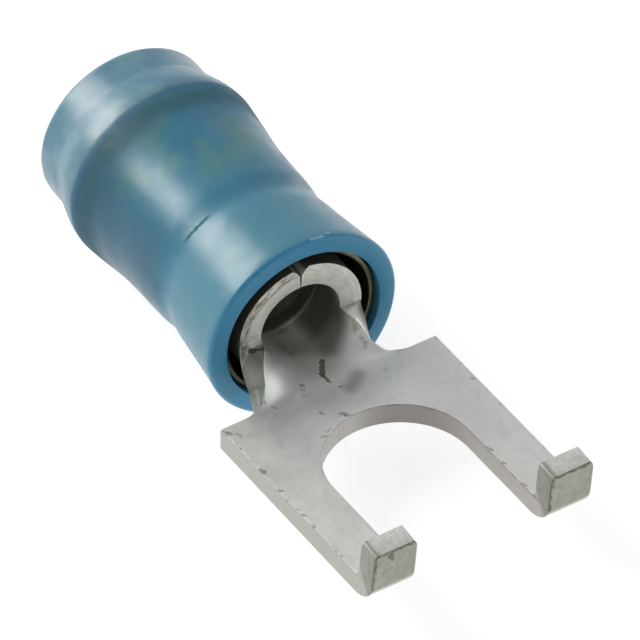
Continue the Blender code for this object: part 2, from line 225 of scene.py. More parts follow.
start_editing(body)
for side in (-1.0, 1.0):
    route = web_side(side)
    pick(body, "VERT", lambda v: (v.co - route[0]).length < NEAR)
    for here, there in zip(route, route[1:]):
        bpy.ops.mesh.extrude_vertices_move(TRANSFORM_OT_translate={"value": there - here})
half_circle = NECK_COLUMNS + 2 * (FILLET_STEPS + SHOULDER_STEPS + SIDE_STEPS)
bpy.ops.mesh.select_all(action="DESELECT")
bpy.ops.mesh.primitive_circle_add(
    vertices=2 * half_circle, radius=SLOT_WIDTH / 2, location=(SLOT_CENTRE_X, 0.0, STOCK / 2)
)
pick(body, "VERT", lambda v: v.co.x > SLOT_CENTRE_X + NEAR)
bpy.ops.mesh.delete(type="VERT")
pick(body, "EDGE", lambda e: e.is_wire or all(abs(v.co.x - FILLET_X) < NEAR for v in e.verts))
WEB_RINGS = 16
bpy.ops.mesh.bridge_edge_loops(number_cuts=WEB_RINGS - 1, interpolation="LINEAR")

# The tines run straight to their bends, turn up and end in flanges
TINE_STEPS = 30
BEND_STEPS = 12
FLANGE_STEPS = 4
outer = BEND_RADIUS + STOCK
outer_top = outer * (1.0 - math.cos(BEND_ANGLE)) - STOCK
bend_x = FLANGE_X - outer * math.sin(BEND_ANGLE) + outer_top / math.tan(BEND_ANGLE)
bend_rise = STOCK / 2 + BEND_MIDDLE * (1.0 - math.cos(BEND_ANGLE))
flange_run = (FLANGE_HEIGHT - bend_rise) / math.sin(BEND_ANGLE)
up_flange = Vector((math.cos(BEND_ANGLE), 0.0, math.sin(BEND_ANGLE)))
tine_step = ((bend_x - SLOT_CENTRE_X) / TINE_STEPS, 0.0, 0.0)
flange_step = up_flange * flange_run / FLANGE_STEPS
pick(body, "EDGE", lambda e: e.is_boundary and all(abs(v.co.x - SLOT_CENTRE_X) < NEAR for v in e.verts))
for k in range(TINE_STEPS):
    bpy.ops.mesh.extrude_region_move(TRANSFORM_OT_translate={"value": tine_step})
bpy.ops.mesh.spin(
    steps=BEND_STEPS, angle=BEND_ANGLE, center=(bend_x, 0.0, STOCK / 2 + BEND_MIDDLE), axis=(0.0, 1.0, 0.0)
)
for k in range(FLANGE_STEPS):
    bpy.ops.mesh.extrude_region_move(TRANSFORM_OT_translate={"value": flange_step})
bpy.ops.mesh.select_all(action="SELECT")
bpy.ops.mesh.remove_doubles(threshold=NEAR / 4)
bpy.ops.mesh.normals_make_consistent(inside=False)
stop_editing()
for v in body.data.vertices:
    if v.co.x < BARREL_FRONT_X + ROLL_OPENING:
        v.co = rolled(v.co.x, v.co.y)

PER_MM = (1.0 / MM, 1.0 / MM, 1.0 / MM)


class Shader:
    """A node material, with short calls for its nodes.

    Places, widths and ranges of x, y and z are in millimetres; shares and noise run from 0 to 1.
    """

    SOLID_CORE = 0.55

    def __init__(self, name):
        self.material = bpy.data.materials.new(name)
        self.material.use_nodes = True
        self.tree = self.material.node_tree
        self.surface = self.tree.nodes["Principled BSDF"]
        self.coordinates = self.node("ShaderNodeTexCoord").outputs["Object"]
        self.place = self.mapped(PER_MM)
        # The distance from an uneven mark is multiplied by this, so that its edge wanders
        self.uneven = self.ramp(self.noise(7.0, 3.0), 0.30, 0.70, 0.55, 1.55)

    def node(self, kind, **settings):
        made = self.tree.nodes.new(kind)
        for key, value in settings.items():
            setattr(made, key, value)
        return made

    def feed(self, socket, value):
        """Link the value to the socket, or set it there if it is uniform."""
        if isinstance(value, bpy.types.NodeSocket):
            self.tree.links.new(value, socket)
        else:
            socket.default_value = value

    def mapped(self, scale, shift=(0.0, 0.0, 0.0), turn=0.0):
        """The piece's own coordinates in metres, scaled, turned about Z and shifted."""
        made = self.node("ShaderNodeMapping")
        self.feed(made.inputs["Vector"], self.coordinates)
        made.inputs["Scale"].default_value = scale
        made.inputs["Location"].default_value = shift
        made.inputs["Rotation"].default_value = (0.0, 0.0, turn)
        return made.outputs["Vector"]

    def along_barrel(self):
        """Read places as they were before the barrel leaned aside."""
        pivot = Vector((SHOULDER_X / MM, 0.0, 0.0))
        turned = Matrix.Rotation(BARREL_LEAN, 3, "Z") @ pivot
        self.place = self.mapped(PER_MM, pivot - turned, BARREL_LEAN)

    def split(self):
        """The place's x, y and z."""
        made = self.node("ShaderNodeSeparateXYZ")
        self.feed(made.inputs["Vector"], self.place)
        return made.outputs["X"], made.outputs["Y"], made.outputs["Z"]

    def noise(self, scale, detail=3.0, roughness=0.55, place=None):
        """Noise of about 0 to 1; scale is in features per millimetre."""
        made = self.node("ShaderNodeTexNoise")
        self.feed(made.inputs["Vector"], place or self.place)
        made.inputs["Scale"].default_value = scale
        made.inputs["Detail"].default_value = detail
        made.inputs["Roughness"].default_value = roughness
        return made.outputs["Fac"]

    def math(self, operation, a, b=0.0, c=0.0):
        made = self.node("ShaderNodeMath", operation=operation)
        for socket, value in zip(made.inputs, (a, b, c)):
            self.feed(socket, value)
        return made.outputs["Value"]

    def times(self, product, *factors):
        for factor in factors:
            product = self.math("MULTIPLY", product, factor)
        return product

    def most(self, a, b):
        return self.math("MAXIMUM", a, b)

    def apart(self, value, middle):
        """How far the value is from the middle, on either side."""
        return self.math("ABSOLUTE", self.math("SUBTRACT", value, middle))

    def ramp(self, value, low, high, start, end):
        """Start below low, end above high, eased between them."""
        made = self.node("ShaderNodeMapRange", interpolation_type="SMOOTHSTEP")
        limits = {"Value": value, "From Min": low, "From Max": high, "To Min": start, "To Max": end}
        for key, given in limits.items():
            self.feed(made.inputs[key], given)
        return made.outputs["Result"]

    def rise(self, value, low, high, top=1.0):
        """0 below low, top above high, eased between them."""
        return self.ramp(value, low, high, 0.0, top)

    def fall(self, value, low, high, top=1.0):
        """Top below low, 0 above high, eased between them."""
        return self.ramp(value, low, high, top, 0.0)

    def mix(self, share, first, second):
        """The first colour where the share is 0, the second where it is 1."""
        made = self.node("ShaderNodeMix", data_type="RGBA")
        self.feed(made.inputs["Factor"], share)
        self.feed(made.inputs["A"], first)
        self.feed(made.inputs["B"], second)
        return made.outputs["Result"]

    def mark(self, start, end, half_width, uneven=True):
        """1 on the line between two places, easing to 0 at half_width from it.

        An uneven mark is solid in its core and has a ragged edge; an even one fades all the way.
        """
        along = Vector(end) - Vector(start)
        offset = self.node("ShaderNodeVectorMath", operation="SUBTRACT")
        self.feed(offset.inputs[0], self.place)
        offset.inputs[1].default_value = start
        reach = self.node("ShaderNodeVectorMath", operation="DOT_PRODUCT")
        self.feed(reach.inputs[0], offset.outputs["Vector"])
        reach.inputs[1].default_value = along / along.length_squared
        share = self.node("ShaderNodeClamp")
        self.feed(share.inputs["Value"], reach.outputs["Value"])
        nearest = self.node("ShaderNodeVectorMath", operation="SCALE")
        nearest.inputs[0].default_value = along
        self.feed(nearest.inputs["Scale"], share.outputs["Result"])
        gap = self.node("ShaderNodeVectorMath", operation="DISTANCE")
        self.feed(gap.inputs[0], offset.outputs["Vector"])
        self.feed(gap.inputs[1], nearest.outputs["Vector"])
        distance = gap.outputs["Value"]
        if uneven:
            distance = self.times(distance, self.uneven)
            return self.fall(distance, half_width * self.SOLID_CORE, half_width)
        return self.fall(distance, 0.0, half_width)

    def tint_along(self, colour, start, end, half_width, depth, shade, uneven=True):
        """The colour with a shade over it on the line between two places, for stains and for painted shade
        and light; depth 1 hides the colour.
        """
        return self.mix(self.times(self.mark(start, end, half_width, uneven), depth), colour, shade)

    def bump(self, height, strength, distance):
        """Add a relief, as high as distance in metres, to those that the surface has."""
        made = self.node("ShaderNodeBump")
        self.feed(made.inputs["Height"], height)
        for link in self.surface.inputs["Normal"].links:
            self.feed(made.inputs["Normal"], link.from_socket)
        made.inputs["Strength"].default_value = strength
        made.inputs["Distance"].default_value = distance
        self.feed(self.surface.inputs["Normal"], made.outputs["Normal"])

    def look(self, colour, roughness, metallic):
        self.feed(self.surface.inputs["Base Color"], colour)
        self.feed(self.surface.inputs["Roughness"], roughness)
        self.surface.inputs["Metallic"].default_value = metallic


def axis_distance(shader, y, z):
    """Distance from the barrel's axis in millimetres."""
    height = shader.math("SUBTRACT", z, AXIS_HEIGHT / MM)
    return shader.math("SQRT", shader.math("ADD", shader.times(y, y), shader.times(height, height)))


# The plating is clouded, mottled and grainy, with painted light by the neck and painted shade in the
# rolled barrel
CLOUDY_TIN = (0.575, 0.575, 0.555, 1.0)
CLEAR_TIN = (0.62, 0.62, 0.605, 1.0)
DULL_TIN = (0.44, 0.44, 0.395, 1.0)
GRAIN_TIN = (0.76, 0.76, 0.74, 1.0)
PAINTED_LIGHT_TIN = (0.93, 0.93, 0.90, 1.0)
BORE_SHADE = (0.13, 0.13, 0.095, 1.0)
GAP_SHADE = (0.10, 0.10, 0.075, 1.0)
BLOTCH = (0.26, 0.26, 0.19, 1.0)
MOUTH_SLANT = 2.2
tin = Shader("tinned_sheet")
x, y, z = tin.split()
from_axis = axis_distance(tin, y, z)
clouds = tin.noise(0.9, 4.0)
grain = tin.noise(28.0, 2.0, 0.7)
mottle = tin.noise(4.5, 4.0, 0.65)
colour = tin.mix(tin.rise(clouds, 0.35, 0.65), CLOUDY_TIN, CLEAR_TIN)
colour = tin.mix(tin.rise(mottle, 0.44, 0.64, 0.20), colour, DULL_TIN)
colour = tin.mix(tin.rise(grain, 0.40, 0.75, 0.30), colour, GRAIN_TIN)
# Painted light brightens the tin by the neck and behind it
lit_by_neck = tin.most(tin.fall(x, 0.4, 2.6, 0.42), tin.fall(x, -1.0, 0.3, 0.98))
lit_by_neck = tin.times(lit_by_neck, tin.rise(y, -2.4, -0.9), tin.ramp(y, 1.4, 2.8, 1.0, 0.2))
colour = tin.mix(lit_by_neck, colour, PAINTED_LIGHT_TIN)
# Painted shade darkens the inside of the rolled barrel and the gap at its face
past_face = tin.most(tin.math("SUBTRACT", x, BARREL_FRONT_X / MM), 0.0)
from_wall = tin.math("SUBTRACT", from_axis, tin.times(past_face, MOUTH_SLANT))
in_roll = tin.times(tin.fall(from_wall, 1.42, 1.64), tin.fall(x, -2.7, -1.6))
darkened = tin.most(tin.ramp(x, -4.0, -3.2, 0.97, 0.38), tin.rise(y, 0.1, 0.9, 0.94))
colour = tin.mix(tin.times(in_roll, darkened), colour, BORE_SHADE)
in_gap = tin.times(tin.rise(from_axis, 1.85, 1.95, 0.85), tin.fall(x, -2.20, -2.14))
colour = tin.mix(in_gap, colour, GAP_SHADE)
blotched = tin.times(tin.rise(tin.noise(2.2, 4.0, 0.6), 0.58, 0.68), tin.ramp(x, -0.9, 0.2, 0.40, 0.08))
colour = tin.mix(blotched, colour, BLOTCH)

# Flux stains and nicks: where each starts and ends, its half width and its depth
FLUX_STAIN = (0.17, 0.17, 0.11, 1.0)
for start, end, half_width, depth in (
    ((-1.65, 0.38, 0.62), (-1.05, 0.02, 0.69), 0.11, 0.80),
    ((-1.05, 0.02, 0.69), (-0.73, 0.04, 0.70), 0.06, 0.75),
    ((-1.07, -0.70, 0.70), (-1.02, -0.66, 0.70), 0.07, 0.60),
    ((-0.42, 0.14, 0.70), (-0.40, 0.20, 0.70), 0.05, 0.50),
    ((0.18, -0.89, 0.70), (0.26, -0.85, 0.70), 0.05, 0.65),
    ((0.52, -0.42, 0.70), (0.60, -0.30, 0.70), 0.07, 0.55),
    ((-0.96, -2.01, 0.79), (-0.66, -1.83, 0.70), 0.04, 0.70),
    ((1.30, 3.46, 0.70), (1.34, 3.54, 0.70), 0.05, 0.45),
    ((-0.64, -3.58, 0.70), (-0.42, -3.43, 0.70), 0.06, 0.60),
    ((-0.34, -3.32, 0.70), (-0.20, -3.26, 0.70), 0.05, 0.40),
    ((1.23, -3.58, 0.70), (1.37, -3.49, 0.70), 0.06, 0.62),
    ((2.20, -3.58, 0.70), (2.28, -3.51, 0.70), 0.055, 0.60),
    ((3.11, -3.58, 0.70), (3.16, -3.53, 0.70), 0.04, 0.45),
    ((1.04, -1.42, 0.70), (1.07, -1.27, 0.70), 0.045, 0.50),
    ((0.95, -1.14, 0.70), (0.89, -1.00, 0.70), 0.045, 0.45),
    ((0.66, -0.36, 0.70), (0.70, -0.24, 0.70), 0.050, 0.60),
    ((3.88, 2.25, 0.70), (4.02, 2.29, 0.70), 0.050, 0.60),
    ((4.60, 2.25, 0.70), (4.70, 2.29, 0.70), 0.050, 0.60),
    ((5.64, 2.25, 0.70), (5.74, 2.29, 0.70), 0.045, 0.50),
):
    colour = tin.tint_along(colour, start, end, half_width, depth, FLUX_STAIN)

# A soft olive stain lies beside them, and small nicks are scattered along the tongue's sides
OLIVE_STAIN = (0.21, 0.225, 0.145, 1.0)
NICK = (0.20, 0.20, 0.16, 1.0)
colour = tin.tint_along(colour, (-0.22, 0.42, 0.70), (-0.55, 0.86, 0.70), 0.40, 0.50, OLIVE_STAIN, uneven=False)
at_side = tin.math("ADD", tin.fall(y, -3.56, -3.42, 0.70), tin.rise(y, 3.46, 3.56, 0.22))
nicked = tin.times(tin.rise(tin.noise(5.5, 3.0, 0.6), 0.56, 0.63), at_side)
colour = tin.mix(nicked, colour, NICK)

# The flanges' fronts get painted shade and are specked, and dark at their left edges and their tops
SHADED_FRONT = (0.385, 0.385, 0.335, 1.0)
DEEPER_SHADED_FRONT = (0.330, 0.330, 0.285, 1.0)
SPECK = (0.14, 0.135, 0.10, 1.0)
DARK_FRONT_EDGE = (0.090, 0.085, 0.055, 1.0)
SPOT = (0.110, 0.105, 0.070, 1.0)
RIGHT_TINE_INSIDE = 2.25
# Painted shade: the flanges' fronts are darker than the rest of the plating
front = tin.mix(tin.rise(mottle, 0.35, 0.65), SHADED_FRONT, DEEPER_SHADED_FRONT)
front = tin.mix(tin.rise(tin.noise(2.6, 4.0, 0.7), 0.60, 0.66, 0.5), front, SPECK)
left_edges = tin.fall(tin.apart(y, RIGHT_TINE_INSIDE), 0.03, 0.10)
left_edges = tin.most(left_edges, tin.fall(y, -3.57, -3.49))
darkened_edges = tin.most(left_edges, tin.rise(z, 1.88, 1.97, 0.8))
darkened_edges = tin.times(darkened_edges, tin.ramp(tin.noise(4.5, 3.0, 0.6), 0.40, 0.62, 0.10, 0.95))
front = tin.mix(darkened_edges, front, DARK_FRONT_EDGE)
front = tin.tint_along(front, (7.07, -3.10, 1.86), (7.05, -3.04, 1.72), 0.10, 0.65, SPOT)
colour = tin.mix(tin.rise(x, 6.86, 6.94), colour, front)

# In the neck's trough a painted shadow lies on the right, and the left has a painted highlight and is
# smoother
PAINTED_SHADOW = (0.19, 0.19, 0.155, 1.0)
PAINTED_HIGHLIGHT_TIN = (0.93, 0.93, 0.91, 1.0)
# Painted shadow, in two strokes
colour = tin.tint_along(colour, (-2.15, 1.32, 1.45), (-1.88, 0.80, 0.78), 0.62, 0.66, PAINTED_SHADOW, uneven=False)
colour = tin.tint_along(colour, (-2.05, 0.70, 0.72), (-2.85, -0.20, 0.53), 0.60, 0.42, PAINTED_SHADOW, uneven=False)
# Painted highlight, where the tin is also less rough
highlight_and_polish = tin.mark((-1.90, -1.40, 1.50), (-1.25, -1.50, 0.80), 0.95, uneven=False)
colour = tin.mix(tin.times(highlight_and_polish, 0.90), colour, PAINTED_HIGHLIGHT_TIN)
roughness = tin.math("MULTIPLY_ADD", in_roll, 0.12, tin.ramp(clouds, 0.3, 0.7, 0.50, 0.58))
roughness = tin.math("MULTIPLY_ADD", tin.fall(x, -1.4, 0.6), 0.10, roughness)
roughness = tin.math("MULTIPLY_ADD", highlight_and_polish, -0.24, roughness)
tin.look(colour, roughness, metallic=1.0)
tin.bump(grain, 0.30, 0.005 * MM)
tin.bump(mottle, 0.12, 0.010 * MM)
tin.bump(tin.noise(2.2, 2.0), 0.15, 0.014 * MM)

# The sheared edges are streaked through the sheet, and torn round the barrel's face
WALL = (0.48, 0.465, 0.44, 1.0)
WALL_STREAK = (0.52, 0.505, 0.48, 1.0)
SIDE_WALL = (0.400, 0.405, 0.375, 1.0)
SLOT_ROOT_SHADE = (0.29, 0.27, 0.255, 1.0)
WALL_LIP = (0.16, 0.155, 0.125, 1.0)
STREAK_SCALE = (9000.0, 9000.0, 1500.0)
sheared = Shader("sheared_edge")
x, y, z = sheared.split()
from_axis = axis_distance(sheared, y, z)
streaks = sheared.noise(1.0, 3.0, 0.6, sheared.mapped(STREAK_SCALE))
turned = sheared.math("ARCTAN2", y, sheared.math("SUBTRACT", z, AXIS_HEIGHT / MM))
around = sheared.node("ShaderNodeCombineXYZ")
for key, value, scale in (("X", turned, 5.0), ("Y", from_axis, 10.0), ("Z", x, 5.0)):
    sheared.feed(around.inputs[key], sheared.times(value, scale))
torn = sheared.noise(1.0, 4.0, 0.70, around.outputs["Vector"])
speckle = sheared.rise(torn, 0.35, 0.65)
beside = sheared.math("ABSOLUTE", y)
wall = sheared.mix(sheared.rise(streaks, 0.3, 0.7), WALL, WALL_STREAK)
wall = sheared.mix(sheared.rise(beside, 3.2, 3.5), wall, SIDE_WALL)
# Painted shade darkens the slot's wall towards its root and on its right side
root_shade = sheared.times(sheared.ramp(x, 1.2, 3.6, 1.0, 0.36), sheared.ramp(y, -0.5, 1.0, 0.10, 1.0))
wall = sheared.mix(sheared.times(sheared.fall(beside, 2.40, 2.80), root_shade), wall, SLOT_ROOT_SHADE)
lip = sheared.times(sheared.rise(z, 0.64, 0.67), sheared.ramp(torn, 0.38, 0.60, 0.10, 0.75))
lip = sheared.times(lip, sheared.fall(z, 0.72, 0.80), sheared.ramp(beside, 3.2, 3.4, 1.0, 0.30))
wall = sheared.mix(lip, wall, WALL_LIP)

# The barrel's face is bright, with a crumbled fracture, mostly on its left side's outer half
FACE = (0.66, 0.65, 0.600, 1.0)
BRIGHT_FACE = (0.77, 0.76, 0.715, 1.0)
FRACTURE = (0.24, 0.225, 0.185, 1.0)
FRACTURE_CREST = (0.66, 0.64, 0.58, 1.0)
at_barrel = sheared.fall(x, -2.18, -2.10)
colour = sheared.mix(at_barrel, wall, sheared.mix(speckle, FACE, BRIGHT_FACE))
fractured = sheared.times(sheared.rise(from_axis, 1.62, 1.74), at_barrel)
fractured = sheared.times(fractured, sheared.ramp(y, -0.40, 0.10, 1.0, 0.15))
crumbled = sheared.mix(sheared.rise(torn, 0.42, 0.58), FRACTURE, FRACTURE_CREST)
colour = sheared.mix(fractured, colour, crumbled)

# The neck's left edge gets painted shade, a painted dark line at its step and a pale patch, and its right
# edge painted light
SHADED_EDGE = (0.235, 0.24, 0.205, 1.0)
LESS_SHADED_EDGE = (0.29, 0.295, 0.26, 1.0)
LIT_EDGE = (0.60, 0.59, 0.55, 1.0)
STEP_SHADE = (0.07, 0.07, 0.05, 1.0)
PATCH = (0.37, 0.43, 0.345, 1.0)
PAINTED_GLINT = (0.95, 0.95, 0.93, 1.0)
at_neck = sheared.times(sheared.fall(x, -1.25, -0.85), sheared.math("SUBTRACT", 1.0, at_barrel))
left_neck = sheared.times(at_neck, sheared.fall(y, -0.3, 0.3))
right_neck = sheared.math("SUBTRACT", at_neck, left_neck)
# Painted shade on the neck's left edge, and painted light on its right edge
colour = sheared.mix(left_neck, colour, sheared.mix(speckle, SHADED_EDGE, LESS_SHADED_EDGE))
colour = sheared.mix(right_neck, colour, LIT_EDGE)
# A painted dark line at the step, a pale patch, and a painted glint
for start, end, half_width, depth, shade in (
    ((-2.16, -1.74, 1.62), (-1.98, -1.40, 1.69), 0.07, 0.85, STEP_SHADE),
    ((-1.46, -1.95, 0.75), (-1.02, -2.13, 0.55), 0.10, 0.75, PATCH),
    ((-1.74, 1.58, 1.54), (-1.05, 2.02, 0.80), 0.07, 0.75, PAINTED_GLINT),
):
    colour = sheared.tint_along(colour, start, end, half_width, depth, shade)

# The flanges' sheared sides get painted shade and their tops painted light, with a dark front edge
SHADED_FLANGE_SIDE = (0.270, 0.270, 0.235, 1.0)
SHADED_FLANGE_SIDE_CREST = (0.340, 0.340, 0.310, 1.0)
LIT_FLANGE_TOP = (0.50, 0.505, 0.465, 1.0)
LIT_FLANGE_TOP_CREST = (0.62, 0.62, 0.60, 1.0)
FLANGE_FRONT_EDGE = (0.13, 0.125, 0.095, 1.0)
BEND_SLANT = 0.6
FRONT_SLANT = -0.105
in_flange = sheared.rise(sheared.math("MULTIPLY_ADD", z, BEND_SLANT, x), 6.75, 7.10)
# Painted shade on the flanges' sheared faces
colour = sheared.mix(in_flange, colour, sheared.mix(speckle, SHADED_FLANGE_SIDE, SHADED_FLANGE_SIDE_CREST))
# Painted light on the flanges' tops, away from their left edges
off_left_edges = sheared.rise(sheared.apart(y, RIGHT_TINE_INSIDE), 0.08, 0.26)
off_left_edges = sheared.times(off_left_edges, sheared.rise(y, -3.52, -3.34))
lit_flange_top = sheared.times(sheared.rise(z, 1.93, 2.01), sheared.rise(x, 5.0, 6.0), off_left_edges)
colour = sheared.mix(lit_flange_top, colour, sheared.mix(speckle, LIT_FLANGE_TOP, LIT_FLANGE_TOP_CREST))
front_edge = sheared.rise(sheared.math("MULTIPLY_ADD", z, FRONT_SLANT, x), 6.80, 6.85)
front_edge = sheared.times(front_edge, sheared.ramp(torn, 0.35, 0.60, 0.40, 1.0))
colour = sheared.mix(front_edge, colour, FLANGE_FRONT_EDGE)
roughness = sheared.math("MULTIPLY_ADD", in_flange, 0.20, sheared.ramp(torn, 0.3, 0.7, 0.42, 0.52))
sheared.look(colour, roughness, metallic=1.0)
sheared.bump(sheared.times(torn, sheared.math("MULTIPLY_ADD", fractured, 0.85, 0.15)), 0.50, 0.030 * MM)
sheared.bump(streaks, 0.07, 0.008 * MM)

# The sheet gets its thickness, and its rim the look of sheared edges
SHEARED_SLOT = 1
body.data.materials.append(tin.material)
body.data.materials.append(sheared.material)
stock = body.modifiers.new("Stock", "SOLIDIFY")
stock.thickness = STOCK
stock.offset = 0.0
stock.use_even_offset = True
stock.material_offset_rim = SHEARED_SLOT
apply_all(body)

# The flanges' top corners and the seam's outer edges are rounded, and the bore is ringed
CORNER_REACH = 0.1 * MM
GROOVE_PITCH = 1.10 * MM
GROOVE_HALF_WIDTH = 0.13 * MM
GROOVE_DEPTH = 0.08 * MM
BORE_REACH = 0.01 * MM
barrel_middle = (BARREL_FRONT_X + BARREL_REAR_X) / 2


def is_tip_corner(e):
    a, b = e.verts
    high = min(a.co.z, b.co.z) > FLANGE_HEIGHT - CORNER_REACH and min(a.co.x, b.co.x) > bend_x
    aside = abs(a.co.y)
    at_side = min(abs(aside - SLOT_WIDTH / 2), abs(aside - TONGUE_WIDTH / 2)) < NEAR
    through_stock = abs(a.co.y - b.co.y) < NEAR and e.calc_length() > STOCK * 0.9
    return high and at_side and through_stock


def is_in_groove(v):
    from_middle = abs(v.co.x - barrel_middle)
    from_groove = min(from_middle, abs(from_middle - GROOVE_PITCH))
    on_bore = math.hypot(v.co.y, v.co.z - AXIS_HEIGHT) < BORE_RADIUS + BORE_REACH
    return from_groove < GROOVE_HALF_WIDTH and on_bore


start_editing(body)
pick(body, "EDGE", is_tip_corner)
bpy.ops.mesh.bevel(offset=TIP_CORNER, segments=TIP_CORNER_ROWS, affect="EDGES")
pick(body, "VERT", is_in_groove)
bpy.ops.transform.shrink_fatten(value=-GROOVE_DEPTH)
stop_editing()
for v in body.data.vertices:
    height = v.co.z - AXIS_HEIGHT
    from_seam = abs(v.co.y) / SEAM_HALF_WIDTH
    if height > ROLL_RADIUS and from_seam < 1.0:
        v.co.z -= SEAM_DEPTH * (1.0 - from_seam) * (height - ROLL_RADIUS) / (STOCK / 2)

# Every piece's edges are broken a little
BODY_EDGE = 0.040 * MM
EDGE_ROWS = 3
SMOOTH_BELOW = math.radians(40.0)


def break_edges(piece, width, sharper_than, material=-1):
    """Round the piece's edges that are sharper than an angle in degrees, and apply its modifiers."""
    edges = piece.modifiers.new("Edges", "BEVEL")
    edges.width = width
    edges.segments = EDGE_ROWS
    edges.limit_method = "ANGLE"
    edges.angle_limit = math.radians(sharper_than)
    edges.material = material
    apply_all(piece)
    bpy.ops.object.shade_smooth_by_angle(angle=SMOOTH_BELOW)


break_edges(body, BODY_EDGE, sharper_than=50.0, material=SHEARED_SLOT)
lean_aside(body)
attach(body, "root")
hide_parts("terminal_body")


# Support sleeve
# A short tube drawn from thin brass, pressed over the barrel inside the nylon. Its front edge
# shows in the mouth, and its flared rear end is painted as a dark line on the insulator.
SLEEVE_WALL = 0.15 * MM
SLEEVE_EDGE = 0.03 * MM
SLEEVE_FRONT_X = -2.32 * MM
SLEEVE_REAR_X = -9.68 * MM
WAIST_X = -5.08 * MM
MOUTH_RADIUS = 2.31 * MM
GRIP_RADIUS = 2.05 * MM
FLARE_RADIUS = 2.60 * MM
RING_COLUMNS = 144
CURVE_STEPS = 10


def curve_points(stations):
    """Points on the smooth monotone curve through the stations, each an (x, radius) pair."""
    rises = [(b[1] - a[1]) / (b[0] - a[0]) for a, b in zip(stations, stations[1:])]
    slopes = [rises[0]]
    for before, after in zip(rises, rises[1:]):
        slopes.append(0.0 if before * after <= 0.0 else 2.0 * before * after / (before + after))
    slopes.append(rises[-1])
    points = [stations[0]]
    for i, ((x0, r0), (x1, r1)) in enumerate(zip(stations, stations[1:])):
        for k in range(1, CURVE_STEPS + 1):
            t = k / CURVE_STEPS
            bend = t * (1.0 - t) ** 2 * slopes[i] - t * t * (1.0 - t) * slopes[i + 1]
            points.append((x0 + t * (x1 - x0), r0 + ease(t) * (r1 - r0) + bend * (x1 - x0)))
    return points


def ring_by_ring(name, profile):
    """A closed wall round the barrel's axis, extruded ring by ring along its profile."""
    bpy.ops.object.select_all(action="DESELECT")
    here_x, radius = profile[0]
    bpy.ops.mesh.primitive_circle_add(
        vertices=RING_COLUMNS, radius=radius,
        location=(here_x, 0.0, AXIS_HEIGHT), rotation=(0.0, math.pi / 2, 0.0)
    )
    piece = bpy.context.object
    piece.name = name
    bpy.ops.object.transform_apply(location=True, rotation=True, scale=True)
    start_editing(piece)
    bpy.ops.mesh.select_all(action="SELECT")
    for there_x, wider in profile[1:]:
        bpy.ops.mesh.extrude_edges_move(TRANSFORM_OT_translate={"value": (there_x - here_x, 0.0, 0.0)})
        if abs(wider - radius) > NEAR / 100:
            bpy.ops.transform.resize(
                value=(1.0, wider / radius, wider / radius), center_override=(there_x, 0.0, AXIS_HEIGHT)
            )
        here_x, radius = there_x, wider
    pick(piece, "EDGE", lambda e: e.is_boundary)
    bpy.ops.mesh.bridge_edge_loops()
    bpy.ops.mesh.select_all(action="SELECT")
    bpy.ops.mesh.normals_make_consistent(inside=False)
    bpy.ops.transform.rotate(value=BARREL_LEAN, orient_axis="Z", center_override=(SHOULDER_X, 0.0, 0.0))
    stop_editing()
    return piece


sleeve_bore = curve_points([
    (SLEEVE_FRONT_X, MOUTH_RADIUS),
    (WAIST_X, GRIP_RADIUS),
    (BARREL_REAR_X, GRIP_RADIUS),
    (SLEEVE_REAR_X, FLARE_RADIUS - SLEEVE_WALL),
])
sleeve_outside = [(x, r + SLEEVE_WALL) for x, r in sleeve_bore]
sleeve = ring_by_ring("drawn_support_sleeve", sleeve_outside + sleeve_bore[::-1])

# The brass is a dull olive brown with fine drawing lines, with painted shade on its inner lip and its left
# side
BROWN_BRASS = (0.175, 0.160, 0.095, 1.0)
PALE_BRASS = (0.270, 0.250, 0.155, 1.0)
LIP_SHADE = (0.045, 0.044, 0.030, 1.0)
DRAWN_SCALE = (500.0, 16000.0, 16000.0)
brass = Shader("drawn_brass")
brass.along_barrel()
x, y, z = brass.split()
colour = brass.mix(brass.rise(brass.noise(1.3, 4.0), 0.35, 0.65), BROWN_BRASS, PALE_BRASS)
# Painted shade on the inner lip and on the sleeve's left side
inner_lip = brass.fall(axis_distance(brass, y, z), 2.38, 2.42)
inner_lip = brass.times(inner_lip, brass.ramp(y, 0.5, 2.0, 0.65, 0.20))
inner_lip = brass.most(inner_lip, brass.fall(y, -1.6, 1.0, 0.93))
colour = brass.mix(inner_lip, colour, LIP_SHADE)
lines = brass.noise(1.0, 2.0, 0.5, brass.mapped(DRAWN_SCALE))
brass.look(colour, brass.ramp(lines, 0.3, 0.7, 0.28, 0.42), metallic=1.0)
brass.bump(lines, 0.3, 0.006 * MM)
sleeve.data.materials.append(brass.material)
break_edges(sleeve, SLEEVE_EDGE, sharper_than=50.0)
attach(sleeve, "root")
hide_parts("support_sleeve")


# Insulator
# One moulding of translucent blue nylon, pressed over the sleeve. Its mouth flares at the fork,
# its waist narrows, with a crease painted in shade, and its rear ring leads the wire's insulation in.
RIM_X = -2.08 * MM
INSULATOR_REAR_X = -12.13 * MM
CLEARANCE = 0.05 * MM
SEAT_STEP = SLEEVE_WALL + CLEARANCE
RIM_RADIUS = 3.07 * MM
FRONT_ROUND = 0.14 * MM
WAIST_RADIUS = 2.72 * MM
WAIST_FRONT_RUN = 0.60 * MM
WAIST_FRONT_RADIUS = 2.795 * MM
WAIST_REAR_RUN = 0.75 * MM
WAIST_REAR_RADIUS = 2.79 * MM
BULGE_START_RADIUS = 2.835 * MM
BULGE_RISE_RUN = 0.34 * MM
BULGE_RISE_RADIUS = 3.044 * MM
BULGE_RADIUS = 3.074 * MM
REAR_TAPER = 1.40 * MM
REAR_RADIUS = 2.76 * MM
REAR_ROUND = 0.30 * MM
REAR_BORE_RADIUS = 2.22 * MM
FUNNEL_LENGTH = 0.60 * MM
ENTRY_DEPTH = 0.45 * MM
